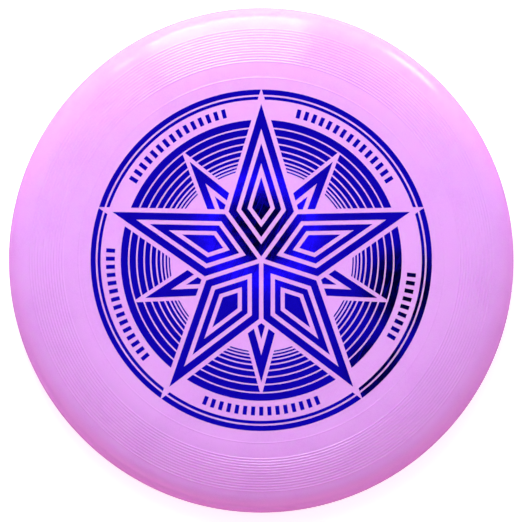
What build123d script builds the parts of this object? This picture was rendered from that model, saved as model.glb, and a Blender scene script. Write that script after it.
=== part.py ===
from build123d import *
from math import cos, radians, sin, tan
import os

# Flying disc: one moulded polyethylene body and the foil printed on its flight plate.
# Millimetres and degrees. The origin is on the axis, in the plane of the rim's land, +Z is up,
# and the print's first long ray points along +Y.

# Overall size
DISC_RADIUS = 137.0
DISC_HEIGHT = 32.0

# Flight plate and the shallow shoulder around it
PLATE_THICKNESS = 1.75
PLATE_FLAT_RADIUS = 96.5
SHOULDER_RADIUS = 105.0
SHOULDER_TURN = 17.0
GATE_RADIUS = 3.0
GATE_HEIGHT = 0.6

# Rim, from its widest line down to the land that it rests on, and up again inside
SIDE_TUCK = 20.0
OUTER_LIP_RADIUS = 2.3
LAND_WIDTH = 1.0
INNER_LIP_RADIUS = 1.6
BEAD_TOP = 3.5
WALL_THICKNESS = 3.3
INNER_WALL_TOP = 13.9
INNER_CORNER_RADIUS = 12.3

# Flight rings: fine rounded ridges on the shoulder, and one lower ridge just outside the plate
RING_COUNT = 13
FIRST_RING_RADIUS = 107.3
RING_PITCH = 1.47
RING_HEIGHT = 0.2
RING_ROUNDING = 0.55
PLATE_RING_RADIUS = 98.6
PLATE_RING_HEIGHT = 0.1

# Foil print: every patch repeats in the five sectors between the long rays
FOIL_THICKNESS = 0.05
SECTORS = 5
SECTOR = 360 / SECTORS
PRINT_RADIUS = 92.1
BORDER_WIDTH = 2.8
HAIRLINE_RADIUS = 88.3
HAIRLINE_WIDTH = 1.65

# Long and short rays are kites: tip and root radius, and the half angle at each
LONG_RAY = (84.4, 2.0, 16.9, 36.0)
SHORT_RAY = (65.8, 14.0, 15.5, 34.0)
LONG_CLEARANCE = 2.5
SHORT_CLEARANCE = 2.1

# How far in each outline of a ray lies: foil fills from the first to the second, from the
# third to the fourth, and everything inside the last
LONG_EDGES = (0.0, 3.9, 6.2, 9.3, 11.5)
SHORT_EDGES = (0.0, 3.9, 6.2)

# Arcs between the rays: each is a little thinner than the one outside it
FIRST_ARC_RADIUS = 75.8
ARC_WIDTHS = (3.9, 3.5, 3.1, 2.7, 2.3, 1.6, 1.1, 0.9, 0.7)
ARC_GAP = 0.85

# Short bars in the band between the arcs and the border
BAR_RADIUS = 81.4
BAR_LENGTH = 4.8
BAR_WIDTH = 2.2
BAR_STEP = 3.1
BARS_PER_SECTOR = (15, 9, 15, 15, 15)


def rim_profile():
    """Closed outline of half the disc, from the axis out over the top and back underneath."""
    turn = radians(SHOULDER_TURN)
    tuck = radians(SIDE_TUCK)
    shoulder_end = PLATE_FLAT_RADIUS + SHOULDER_RADIUS * sin(turn)
    corner_radius = (DISC_RADIUS - shoulder_end) / (1 - sin(turn))
    widest = DISC_HEIGHT - SHOULDER_RADIUS * (1 - cos(turn)) - corner_radius * cos(turn)
    side_radius = (widest - OUTER_LIP_RADIUS * (1 - sin(tuck))) / sin(tuck)
    underside = DISC_HEIGHT - PLATE_THICKNESS
    under_drop = underside - INNER_WALL_TOP - INNER_CORNER_RADIUS * cos(turn)
    with BuildLine() as outline:
        top = Line((0, DISC_HEIGHT), (PLATE_FLAT_RADIUS, DISC_HEIGHT))
        shoulder = JernArc(top @ 1, top % 1, SHOULDER_RADIUS, -SHOULDER_TURN)
        corner = JernArc(shoulder @ 1, shoulder % 1, corner_radius, SHOULDER_TURN - 90)
        side = JernArc(corner @ 1, corner % 1, side_radius, -SIDE_TUCK)
        lip = JernArc(side @ 1, side % 1, OUTER_LIP_RADIUS, SIDE_TUCK - 90)
        land = Line(lip @ 1, lip @ 1 - Vector(LAND_WIDTH, 0))
        inner_lip = JernArc(land @ 1, land % 1, INNER_LIP_RADIUS, -90)
        bead = Line(inner_lip @ 1, Vector((inner_lip @ 1).X, BEAD_TOP))
        inner_wall = Spline(
            bead @ 1,
            (DISC_RADIUS - WALL_THICKNESS, INNER_WALL_TOP),
            tangents=[(0, 1), (0, 1)],
        )
        inner_corner = JernArc(inner_wall @ 1, (0, 1), INNER_CORNER_RADIUS, 90 - SHOULDER_TURN)
        under_shoulder = JernArc(
            inner_corner @ 1, inner_corner % 1, under_drop / (1 - cos(turn)), SHOULDER_TURN
        )
        Line(under_shoulder @ 1, (0, underside))
        Line((0, underside), (0, DISC_HEIGHT))
    return outline.line


def ridge_centre(radius, height):
    """Centre of a ridge's rounding, so that the ridge stands this high on the shoulder."""
    reach = SHOULDER_RADIUS + height - RING_ROUNDING
    lean = (radius - PLATE_FLAT_RADIUS) / SHOULDER_RADIUS
    return (
        PLATE_FLAT_RADIUS + reach * lean,
        DISC_HEIGHT - SHOULDER_RADIUS + reach * (1 - lean**2) ** 0.5,
    )


with BuildPart() as disc_body:
    with BuildSketch(Plane.XZ):
        make_face(rim_profile())
        for ring in range(RING_COUNT):
            with Locations(ridge_centre(FIRST_RING_RADIUS + ring * RING_PITCH, RING_HEIGHT)):
                Circle(RING_ROUNDING)
        with Locations(ridge_centre(PLATE_RING_RADIUS, PLATE_RING_HEIGHT)):
            Circle(RING_ROUNDING)
        with Locations((0, DISC_HEIGHT - PLATE_THICKNESS)):
            Rectangle(GATE_RADIUS, 2 * GATE_HEIGHT, align=(Align.MIN, Align.CENTER))
    revolve(axis=Axis.Z)
disc_body.part.label = "disc_body"
export_step(disc_body.part, "parts/disc_body.step")


def sector_plane(index, turn=SECTOR / 2):
    """Top of the flight plate, turned so that its +Y points along a ray or a gap between rays."""
    return Plane.XY.offset(DISC_HEIGHT).rotated((0, 0, -index * SECTOR - turn))


def kite(ray, edge):
    """Corners of a ray's kite, with every side moved this far in."""
    tip, root, tip_angle, root_angle = ray
    tip = tip - edge / sin(radians(tip_angle))
    root = root + edge / sin(radians(root_angle))
    tip_slope = tan(radians(tip_angle))
    root_slope = tan(radians(root_angle))
    side = (tip * tip_slope + root * root_slope) / (tip_slope + root_slope)
    half = (tip - side) * tip_slope
    return [(0, tip), (half, side), (0, root), (-half, side)]


def draw_kite(ray, edge, turn, mode):
    """Add, cut or keep a kite in the open sketch, turned clockwise about the axis."""
    with Locations(Location((0, 0, 0), (0, 0, -turn))):
        Polygon(*kite(ray, edge), align=None, mode=mode)


def draw_band(outer, width):
    """Circular band in the open sketch, from this radius inwards."""
    Circle(outer)
    Circle(outer - width, mode=Mode.SUBTRACT)


def keep_sector(start, stop):
    """Keep the part of the open sketch between two directions, clockwise from +Y."""
    far = 2 * DISC_RADIUS
    corners = [(far * sin(radians(angle)), far * cos(radians(angle))) for angle in (start, stop)]
    Polygon((0, 0), *corners, align=None, mode=Mode.INTERSECT)


def clear_long_rays():
    """Cut the clear margin of the two long rays that bound a sector."""
    for turn in (-SECTOR / 2, SECTOR / 2):
        draw_kite(LONG_RAY, -LONG_CLEARANCE, turn, Mode.SUBTRACT)


def nested_ray(ray, edges):
    """Kite outlines one inside the other, round a solid kite."""
    modes = (Mode.ADD, Mode.SUBTRACT)
    for number, edge in enumerate(edges):
        draw_kite(ray, edge, 0, modes[number % 2])


def arc_bands():
    """Outer radius and width of each arc, from the outermost in."""
    radius = FIRST_ARC_RADIUS
    bands = []
    for width in ARC_WIDTHS:
        bands.append((radius, width))
        radius -= width + ARC_GAP
    return bands


def save(patch, name):
    """Label a finished piece and write it."""
    patch.part.label = name
    export_step(patch.part, f"parts/{name}.step")


OUTER_ARC, *INNER_ARCS = arc_bands()

for sector in range(SECTORS):
    with BuildPart() as border:
        with BuildSketch(sector_plane(sector)):
            draw_band(PRINT_RADIUS, BORDER_WIDTH)
            keep_sector(-SECTOR / 2, SECTOR / 2)
            clear_long_rays()
        extrude(amount=FOIL_THICKNESS)
    save(border, f"foil_border_{sector + 1}")

    with BuildPart() as hairline:
        with BuildSketch(sector_plane(sector)):
            draw_band(HAIRLINE_RADIUS, HAIRLINE_WIDTH)
            keep_sector(-SECTOR / 2, SECTOR / 2)
            clear_long_rays()
        extrude(amount=FOIL_THICKNESS)
    save(hairline, f"foil_hairline_{sector + 1}")

    with BuildPart() as bars:
        with BuildSketch(sector_plane(sector)):
            count = BARS_PER_SECTOR[sector]
            span = (count - 1) * BAR_STEP
            with PolarLocations(BAR_RADIUS, count, 90 - span / 2, span, endpoint=True):
                Rectangle(BAR_LENGTH, BAR_WIDTH)
        extrude(amount=FOIL_THICKNESS)
    save(bars, f"foil_bars_{sector + 1}")

    with BuildPart() as outer_arc:
        with BuildSketch(sector_plane(sector)):
            draw_band(*OUTER_ARC)
            keep_sector(-SECTOR / 2, SECTOR / 2)
            clear_long_rays()
        extrude(amount=FOIL_THICKNESS)
    save(outer_arc, f"foil_outer_arc_{sector + 1}")

    for side, start, stop in (("left", -SECTOR / 2, 0), ("right", 0, SECTOR / 2)):
        with BuildPart() as fan:
            with BuildSketch(sector_plane(sector)):
                for radius, width in INNER_ARCS:
                    draw_band(radius, width)
                keep_sector(start, stop)
                clear_long_rays()
                draw_kite(SHORT_RAY, -SHORT_CLEARANCE, 0, Mode.SUBTRACT)
            extrude(amount=FOIL_THICKNESS)
        save(fan, f"foil_fan_{side}_{sector + 1}")

    with BuildPart() as short_ray:
        with BuildSketch(sector_plane(sector)):
            nested_ray(SHORT_RAY, SHORT_EDGES)
            clear_long_rays()
        extrude(amount=FOIL_THICKNESS)
    save(short_ray, f"foil_short_ray_{sector + 1}")

    with BuildPart() as long_ray:
        with BuildSketch(sector_plane(sector, 0)):
            nested_ray(LONG_RAY, LONG_EDGES)
        extrude(amount=FOIL_THICKNESS)
    save(long_ray, f"foil_long_ray_{sector + 1}")
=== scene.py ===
import bpy
from math import asin, cos, pi, radians, sin, tan
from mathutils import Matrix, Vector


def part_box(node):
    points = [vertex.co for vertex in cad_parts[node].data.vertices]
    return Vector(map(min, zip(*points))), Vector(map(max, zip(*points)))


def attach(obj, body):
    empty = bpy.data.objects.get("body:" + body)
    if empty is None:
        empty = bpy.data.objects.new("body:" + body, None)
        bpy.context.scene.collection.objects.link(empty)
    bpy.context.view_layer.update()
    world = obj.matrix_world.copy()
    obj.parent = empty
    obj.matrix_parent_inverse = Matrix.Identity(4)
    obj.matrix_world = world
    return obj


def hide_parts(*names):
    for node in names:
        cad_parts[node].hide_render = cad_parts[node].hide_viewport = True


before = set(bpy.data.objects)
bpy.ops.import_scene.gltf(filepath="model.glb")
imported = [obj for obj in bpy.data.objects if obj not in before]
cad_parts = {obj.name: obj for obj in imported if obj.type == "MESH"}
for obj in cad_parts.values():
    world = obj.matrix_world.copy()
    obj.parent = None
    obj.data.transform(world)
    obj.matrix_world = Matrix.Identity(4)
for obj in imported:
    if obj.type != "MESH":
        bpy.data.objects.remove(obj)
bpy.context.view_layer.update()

# The disc's section, in metres, as in the CAD model
DISC_RADIUS = 0.137
DISC_HEIGHT = 0.032
PLATE_THICKNESS = 0.00175
PLATE_FLAT_RADIUS = 0.0965
SHOULDER_RADIUS = 0.105
SHOULDER_TURN = radians(17)
SIDE_TUCK = radians(20)
OUTER_LIP_RADIUS = 0.0023
LAND_WIDTH = 0.001
INNER_LIP_RADIUS = 0.0016
BEAD_TOP = 0.0035
WALL_THICKNESS = 0.0033
INNER_WALL_TOP = 0.0139
INNER_CORNER_RADIUS = 0.0123
GATE_RADIUS = 0.003
GATE_HEIGHT = 0.0006
GATE_BEVEL = 0.0001

# Parting line of the mould: a fine raised line low on the tucked side of the rim
PARTING_HEIGHT = 0.0046
PARTING_WIDTH = 0.0004
PARTING_RISE = 0.00006

# Flight rings on the shoulder, and the fainter one just outside the plate
RING_COUNT = 13
FIRST_RING_RADIUS = 0.1073
RING_PITCH = 0.00147
RING_WIDTH = 0.00105
RING_HEIGHT = 0.0002
PLATE_RING_RADIUS = 0.0986
PLATE_RING_HEIGHT = 0.0001

# Mesh: steps round the disc, distance between the rows across the flat plate and their number
# on top and underneath, rows to a flight ring, and rows up the inside of the rim
SEGMENTS = 360
PLATE_STEP = 0.016
TOP_PLATE_ROWS = 6
UNDER_PLATE_ROWS = 5
ROWS_TO_RING = 8
WALL_ROWS = 12

# Scratches are this many times longer than they are wide, and they fade in over this much noise
SCRATCH_STRETCH = 60.0
SCRATCH_FADE = 0.06

FLOOR_SIZE = 100.0

# Distance of the window's panels from the axis, and height of what the foil mirrors overhead
WINDOW_DISTANCE = 0.5
CEILING = 3.4
CEILING_LIGHT_GAP = 0.1
CARD_GAP = 0.02

# Radiance of the room opposite the window and towards it; the glow opposite the window, the
# height at which it ends, and how far round towards the window it reaches, in world directions
ROOM_RADIANCE = (0.04, 1.0)
GLOW_COLOUR = (1.0, 0.32, 0.42, 1)
GLOW_RADIANCE = 2.9
GLOW_TOP = 0.6
GLOW_END = 0.4

# Overhead camera, and the width that it sees at the height where the disc is widest
CAMERA_HEIGHT = 3.0
WIDEST_HEIGHT = 0.0142
VIEW_WIDTH = 0.2833
CAMERA_OFFSET = (-0.0004, -0.0004)


# ---------------------------------------------------------------- the moulding's mesh


def arc(centre, radius, start, stop, steps):
    """Points on a circle in the section, after its first point, from one angle to the other."""
    angles = [start + (stop - start) * step / steps for step in range(1, steps + 1)]
    return [(centre[0] + radius * cos(a), centre[1] + radius * sin(a)) for a in angles]


def ridge(radius):
    """Height of the flight rings above the plain shoulder, at this radius."""
    rings = [(FIRST_RING_RADIUS + number * RING_PITCH, RING_HEIGHT) for number in range(RING_COUNT)]
    rings.append((PLATE_RING_RADIUS, PLATE_RING_HEIGHT))
    for centre, height in rings:
        offset = abs(radius - centre) / (RING_WIDTH / 2)
        if offset < 1:
            return height * cos(offset * pi / 2) ** 2
    return 0.0


def shoulder_points():
    """The shallow shoulder with its flight rings, from the plate out to the rim's corner."""
    centre_z = DISC_HEIGHT - SHOULDER_RADIUS
    end = PLATE_FLAT_RADIUS + SHOULDER_RADIUS * sin(SHOULDER_TURN)
    fine = RING_PITCH / ROWS_TO_RING
    ring_zone = FIRST_RING_RADIUS - RING_PITCH
    points = []
    radius = PLATE_FLAT_RADIUS
    while radius < end:
        near_plate_ring = abs(radius - PLATE_RING_RADIUS) < RING_WIDTH
        radius += fine if radius > ring_zone or near_plate_ring else RING_WIDTH / 2
        lean = asin(min(radius, end) / SHOULDER_RADIUS - PLATE_FLAT_RADIUS / SHOULDER_RADIUS)
        reach = SHOULDER_RADIUS + ridge(radius)
        points.append((PLATE_FLAT_RADIUS + reach * sin(lean), centre_z + reach * cos(lean)))
    return points


def side_points(widest, side):
    """The tucked side, from the widest line down past the parting line to the lip."""
    centre = (DISC_RADIUS - side, widest)
    parting = -asin((widest - PARTING_HEIGHT) / side)
    half = PARTING_WIDTH / side / 2
    points = arc(centre, side, 0, parting - half, 10)
    points += arc(centre, side + PARTING_RISE, parting, parting, 1)
    points += arc(centre, side, parting + half, parting + half, 1)
    return points + arc(centre, side, parting + half, -SIDE_TUCK, 4)


def inner_wall_points(bead, wall):
    """The inside of the rim, easing out from the bead to the full radius of the hollow."""
    points = []
    for step in range(WALL_ROWS + 1):
        blend = step / WALL_ROWS
        ease = blend * blend * (3 - 2 * blend)
        height = BEAD_TOP + (INNER_WALL_TOP - BEAD_TOP) * blend
        points.append((bead + (wall - bead) * ease, height))
    return points


def section():
    """The disc's half section, from the axis over the top, round the rim and back underneath."""
    shoulder_end = PLATE_FLAT_RADIUS + SHOULDER_RADIUS * sin(SHOULDER_TURN)
    corner = (DISC_RADIUS - shoulder_end) / (1 - sin(SHOULDER_TURN))
    drop = SHOULDER_RADIUS * (1 - cos(SHOULDER_TURN)) + corner * cos(SHOULDER_TURN)
    widest = DISC_HEIGHT - drop
    side = (widest - OUTER_LIP_RADIUS * (1 - sin(SIDE_TUCK))) / sin(SIDE_TUCK)
    lip = DISC_RADIUS - side * (1 - cos(SIDE_TUCK)) - OUTER_LIP_RADIUS * cos(SIDE_TUCK)
    bead = lip - LAND_WIDTH - INNER_LIP_RADIUS
    wall = DISC_RADIUS - WALL_THICKNESS
    start = pi / 2 - SHOULDER_TURN
    points = [(PLATE_STEP * step, DISC_HEIGHT) for step in range(1, TOP_PLATE_ROWS + 1)]
    points += shoulder_points()
    points += arc((DISC_RADIUS - corner, widest), corner, start, 0, 28)
    points += side_points(widest, side)
    points += arc((lip, OUTER_LIP_RADIUS), OUTER_LIP_RADIUS, -SIDE_TUCK, -pi / 2, 8)
    points.append((lip - LAND_WIDTH, 0))
    points += arc((lip - LAND_WIDTH, INNER_LIP_RADIUS), INNER_LIP_RADIUS, -pi / 2, -pi, 8)
    points += inner_wall_points(bead, wall)
    points += arc((wall - INNER_CORNER_RADIUS, INNER_WALL_TOP), INNER_CORNER_RADIUS, 0, start, 20)
    under = DISC_HEIGHT - PLATE_THICKNESS
    fall = under - points[-1][1]
    under_radius = fall / (1 - cos(SHOULDER_TURN))
    flat_end = points[-1][0] - under_radius * sin(SHOULDER_TURN)
    points += arc((flat_end, under - under_radius), under_radius, start, pi / 2, 10)
    points += [(PLATE_STEP * step, under) for step in range(UNDER_PLATE_ROWS, 0, -1)]
    gate = under - GATE_HEIGHT
    points += [(GATE_RADIUS + GATE_BEVEL, under), (GATE_RADIUS, under - GATE_BEVEL)]
    points += [(GATE_RADIUS, gate + GATE_BEVEL), (GATE_RADIUS - GATE_BEVEL, gate)]
    return points


def revolve(name, points, segments):
    """Closed mesh of revolution through these points, with a pole at each end."""
    vertices = [(0, 0, points[0][1])]
    for radius, height in points:
        for turn in range(segments):
            angle = 2 * pi * turn / segments
            vertices.append((radius * cos(angle), radius * sin(angle), height))
    vertices.append((0, 0, points[-1][1]))
    faces = [(0, 1 + turn, 1 + (turn + 1) % segments) for turn in range(segments)]
    for row in range(len(points) - 1):
        first = 1 + row * segments
        for turn in range(segments):
            after = (turn + 1) % segments
            near, far = first + turn, first + after
            faces.append((near, near + segments, far + segments, far))
    last = len(vertices) - 1
    first = 1 + (len(points) - 1) * segments
    faces += [(last, first + (turn + 1) % segments, first + turn) for turn in range(segments)]
    mesh = bpy.data.meshes.new(name)
    mesh.from_pydata(vertices, [], faces)
    mesh.shade_smooth()
    piece = bpy.data.objects.new(name, mesh)
    bpy.context.scene.collection.objects.link(piece)
    return piece


# ---------------------------------------------------------------- materials


def new_material(name):
    """A node material with a plain shader, as (material, nodes, links, shader)."""
    material = bpy.data.materials.new(name)
    material.use_nodes = True
    nodes = material.node_tree.nodes
    return material, nodes, material.node_tree.links, nodes["Principled BSDF"]


def noise(nodes, links, coords, scale, detail=3.0):
    """Noise at this scale, in cycles a metre."""
    node = nodes.new("ShaderNodeTexNoise")
    node.inputs["Scale"].default_value = scale
    node.inputs["Detail"].default_value = detail
    links.new(coords, node.inputs["Vector"])
    return node.outputs["Fac"]


def spread(nodes, links, value, low, high, start=0.3, stop=0.7):
    """A value between start and stop, spread over the range from low to high."""
    node = nodes.new("ShaderNodeMapRange")
    node.inputs["From Min"].default_value = start
    node.inputs["From Max"].default_value = stop
    node.inputs["To Min"].default_value = low
    node.inputs["To Max"].default_value = high
    links.new(value, node.inputs["Value"])
    return node.outputs["Result"]


def bump(nodes, links, height, distance, normal=None):
    """Bump of this height in metres, on top of another bump if one is given."""
    node = nodes.new("ShaderNodeBump")
    node.inputs["Strength"].default_value = 1.0
    node.inputs["Distance"].default_value = distance
    links.new(height, node.inputs["Height"])
    if normal is not None:
        links.new(normal, node.inputs["Normal"])
    return node.outputs["Normal"]


def mix_colour(nodes, links, factor, first, second):
    """Blend of two colours, which are inputs 6 and 7 and output 2 of a Mix node."""
    node = nodes.new("ShaderNodeMix")
    node.data_type = "RGBA"
    node.inputs[6].default_value = first
    node.inputs[7].default_value = second
    links.new(factor, node.inputs[0])
    return node.outputs[2]


def scratches(nodes, links, coords, direction, scale, cover):
    """Fine scratches along one direction, from 0 to 1; cover is the noise above which they show."""
    turned = nodes.new("ShaderNodeMapping")
    turned.vector_type = "TEXTURE"
    turned.inputs["Rotation"].default_value = (0, 0, direction)
    turned.inputs["Scale"].default_value = (SCRATCH_STRETCH, 1, SCRATCH_STRETCH)
    links.new(coords, turned.inputs["Vector"])
    lines = noise(nodes, links, turned.outputs["Vector"], scale, 2.0)
    return spread(nodes, links, lines, 0.0, 1.0, cover, cover + SCRATCH_FADE)


def add(nodes, links, first, second, factor):
    """First value plus factor times the second."""
    node = nodes.new("ShaderNodeMath")
    node.operation = "MULTIPLY_ADD"
    links.new(second, node.inputs[0])
    node.inputs[1].default_value = factor
    links.new(first, node.inputs[2])
    return node.outputs[0]


def polyethylene():
    """Glossy, slightly translucent lavender-pink polyethylene, lightly worn."""
    material, nodes, links, shader = new_material("lavender_polyethylene")
    coords = nodes.new("ShaderNodeTexCoord").outputs["Object"]
    cloud = spread(nodes, links, noise(nodes, links, coords, 45.0), 0.0, 1.0)
    grain = spread(nodes, links, noise(nodes, links, coords, 1300.0, 4.0), 0.0, 1.0)
    tint = add(nodes, links, cloud, grain, 0.8)
    colour = mix_colour(nodes, links, tint, (0.665, 0.322, 0.845, 1), (0.71, 0.36, 0.89, 1))
    links.new(colour, shader.inputs["Base Color"])

    fine = scratches(nodes, links, coords, radians(24), 1100.0, 0.64)
    cross = scratches(nodes, links, coords, radians(112), 900.0, 0.66)
    marks = add(nodes, links, fine, cross, 1.0)
    haze = spread(nodes, links, noise(nodes, links, coords, 160.0, 5.0), 0.08, 0.14)
    links.new(add(nodes, links, haze, marks, 0.1), shader.inputs["Roughness"])
    peel = bump(nodes, links, noise(nodes, links, coords, 900.0, 2.0), 0.00002)
    pores = bump(nodes, links, grain, 0.000006, peel)
    links.new(bump(nodes, links, marks, -0.000004, pores), shader.inputs["Normal"])

    shader.inputs["IOR"].default_value = 1.51
    shader.inputs["Subsurface Weight"].default_value = 0.5
    shader.inputs["Subsurface Radius"].default_value = (1.0, 0.35, 0.9)
    shader.inputs["Subsurface Scale"].default_value = 0.003
    return material


def blue_foil():
    """Metallic blue hot-stamped foil, slightly uneven where it was pressed on."""
    material, nodes, links, shader = new_material("blue_foil")
    coords = nodes.new("ShaderNodeTexCoord").outputs["Object"]
    cloud = spread(nodes, links, noise(nodes, links, coords, 120.0), 0.0, 1.0)
    grain = spread(nodes, links, noise(nodes, links, coords, 2200.0, 4.0), 0.0, 1.0)
    tint = add(nodes, links, cloud, grain, 0.6)
    colour = mix_colour(nodes, links, tint, (0.006, 0.001, 0.54, 1), (0.008, 0.002, 0.63, 1))
    links.new(colour, shader.inputs["Base Color"])

    worn = scratches(nodes, links, coords, radians(67), 1500.0, 0.64)
    haze = spread(nodes, links, noise(nodes, links, coords, 300.0, 4.0), 0.02, 0.055)
    links.new(add(nodes, links, haze, worn, 0.12), shader.inputs["Roughness"])
    wave = bump(nodes, links, noise(nodes, links, coords, 35.0, 1.0), 0.00002)
    links.new(bump(nodes, links, grain, 0.0000004, wave), shader.inputs["Normal"])
    shader.inputs["Metallic"].default_value = 1.0
    shader.inputs["Specular Tint"].default_value = (0.12, 0.12, 1.0, 1)
    return material


def floor_paper():
    """Plain pale studio paper, which throws less light back at the disc than it shows."""
    material, nodes, links, shader = new_material("pale_floor")
    shader.inputs["Base Color"].default_value = (0.93, 0.93, 0.93, 1)
    shader.inputs["Roughness"].default_value = 0.9
    shader.inputs["Specular IOR Level"].default_value = 0.1
    shader.inputs["Emission Color"].default_value = (1, 1, 1, 1)
    shader.inputs["Emission Strength"].default_value = 0.6
    bounce = nodes.new("ShaderNodeBsdfDiffuse")
    bounce.inputs["Color"].default_value = (0.9, 0.5, 0.85, 1)
    seen = nodes.new("ShaderNodeLightPath").outputs["Is Camera Ray"]
    blend = nodes.new("ShaderNodeMixShader")
    links.new(seen, blend.inputs["Fac"])
    links.new(bounce.outputs["BSDF"], blend.inputs[1])
    links.new(shader.outputs["BSDF"], blend.inputs[2])
    links.new(blend.outputs["Shader"], nodes["Material Output"].inputs["Surface"])
    return material


# ---------------------------------------------------------------- the disc

body = revolve("disc_moulding", section(), SEGMENTS)
body.data.materials.append(polyethylene())
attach(body, "root")
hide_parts("disc_body")

foil = blue_foil()
for name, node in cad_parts.items():
    if name.startswith("foil_"):
        node.data.materials.clear()
        node.data.materials.append(foil)

# ---------------------------------------------------------------- floor, lights and camera

bpy.ops.mesh.primitive_plane_add(size=FLOOR_SIZE, location=(0, 0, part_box("disc_body")[0].z))
floor = bpy.context.object
floor.name = "floor"
floor.data.materials.append(floor_paper())


def panel(name, azimuths, elevations, distance, radiance):
    """Upright softbox seen from the disc between these directions, in degrees from +X."""
    middle = radians(sum(azimuths) / 2)
    width = 2 * distance * tan(radians(azimuths[1] - azimuths[0]) / 2)
    reach = distance - DISC_RADIUS
    low, high = (DISC_HEIGHT + reach * tan(radians(e)) for e in elevations)
    light = bpy.data.lights.new(name, "AREA")
    light.shape = "RECTANGLE"
    light.size = width
    light.size_y = high - low
    light.energy = radiance * pi * width * (high - low)
    lamp = bpy.data.objects.new(name, light)
    bpy.context.scene.collection.objects.link(lamp)
    lamp.location = (distance * cos(middle), distance * sin(middle), (low + high) / 2)
    lamp.rotation_euler = (pi / 2, 0, middle + pi / 2)
    lamp.visible_camera = False


def disc_light(name, centre, radius, radiance):
    """Round light that faces down, and that the camera doesn't see directly."""
    light = bpy.data.lights.new(name, "AREA")
    light.shape = "DISK"
    light.size = 2 * radius
    light.energy = radiance * pi * pi * radius**2
    lamp = bpy.data.objects.new(name, light)
    bpy.context.scene.collection.objects.link(lamp)
    lamp.location = centre
    lamp.visible_camera = False


def dark_card(name, centre, radius):
    """Matt black round card, seen only in what mirrors it."""
    bpy.ops.mesh.primitive_circle_add(vertices=48, radius=radius, fill_type="NGON", location=centre)
    card = bpy.context.object
    card.name = name
    material, nodes, links, shader = new_material(name)
    shader.inputs["Base Color"].default_value = (0.01, 0.01, 0.012, 1)
    shader.inputs["Roughness"].default_value = 0.8
    card.data.materials.append(material)
    card.visible_camera = False
    card.visible_shadow = False
    card.visible_diffuse = False


panel("window", (79, 118), (8, 53), WINDOW_DISTANCE, 6.0)
panel("window_side_pane", (122.5, 127.5), (24, 48), WINDOW_DISTANCE, 5.0)
panel("window_low_strip", (45, 59), (-4, 22), WINDOW_DISTANCE, 6.0)
panel("window_top", (79, 118), (53, 76), WINDOW_DISTANCE, 6.0)

disc_light("ceiling", (0, 0, CEILING + CEILING_LIGHT_GAP), 0.6, 0.18)
disc_light("lens_ring", (0, 0.036, CEILING), 0.07, 1.2)
dark_card("lens", (0, 0.036, CEILING - CARD_GAP), 0.044)
dark_card("tripod_arm", (0.165, -0.034, CEILING - CARD_GAP), 0.045)
dark_card("tripod_knob", (0.135, -0.125, CEILING - CARD_GAP), 0.036)


def studio_world():
    """Grey room, brighter towards the window, with a warm glow low down opposite it.

    The camera sees plain white past the floor's edge.
    """
    world = bpy.data.worlds.new("studio")
    world.use_nodes = True
    nodes = world.node_tree.nodes
    links = world.node_tree.links
    coords = nodes.new("ShaderNodeTexCoord").outputs["Generated"]
    split = nodes.new("ShaderNodeSeparateXYZ")
    links.new(coords, split.inputs["Vector"])
    room = nodes["Background"]
    room.inputs["Color"].default_value = (1, 1, 1, 1)
    strength = spread(nodes, links, split.outputs["Y"], *ROOM_RADIANCE, -1, 1)
    links.new(strength, room.inputs["Strength"])
    low = spread(nodes, links, split.outputs["Z"], 1.0, 0.0, 0.0, GLOW_TOP)
    away = spread(nodes, links, split.outputs["Y"], GLOW_RADIANCE, 0.0, -1.0, GLOW_END)
    both = nodes.new("ShaderNodeMath")
    both.operation = "MULTIPLY"
    links.new(low, both.inputs[0])
    links.new(away, both.inputs[1])
    glow = nodes.new("ShaderNodeBackground")
    glow.inputs["Color"].default_value = GLOW_COLOUR
    links.new(both.outputs[0], glow.inputs["Strength"])
    total = nodes.new("ShaderNodeAddShader")
    links.new(room.outputs["Background"], total.inputs[0])
    links.new(glow.outputs["Background"], total.inputs[1])
    backdrop = nodes.new("ShaderNodeBackground")
    backdrop.inputs["Color"].default_value = (1, 1, 1, 1)
    seen = nodes.new("ShaderNodeMixShader")
    links.new(nodes.new("ShaderNodeLightPath").outputs["Is Camera Ray"], seen.inputs["Fac"])
    links.new(total.outputs["Shader"], seen.inputs[1])
    links.new(backdrop.outputs["Background"], seen.inputs[2])
    links.new(seen.outputs["Shader"], nodes["World Output"].inputs["Surface"])
    bpy.context.scene.world = world


studio_world()

data = bpy.data.cameras.new("camera")
data.lens = data.sensor_width * (CAMERA_HEIGHT - WIDEST_HEIGHT) / VIEW_WIDTH
camera = bpy.data.objects.new("camera", data)
bpy.context.scene.collection.objects.link(camera)
camera.location = (*CAMERA_OFFSET, CAMERA_HEIGHT)
bpy.context.scene.camera = camera
bpy.context.scene.view_settings.view_transform = "Standard"
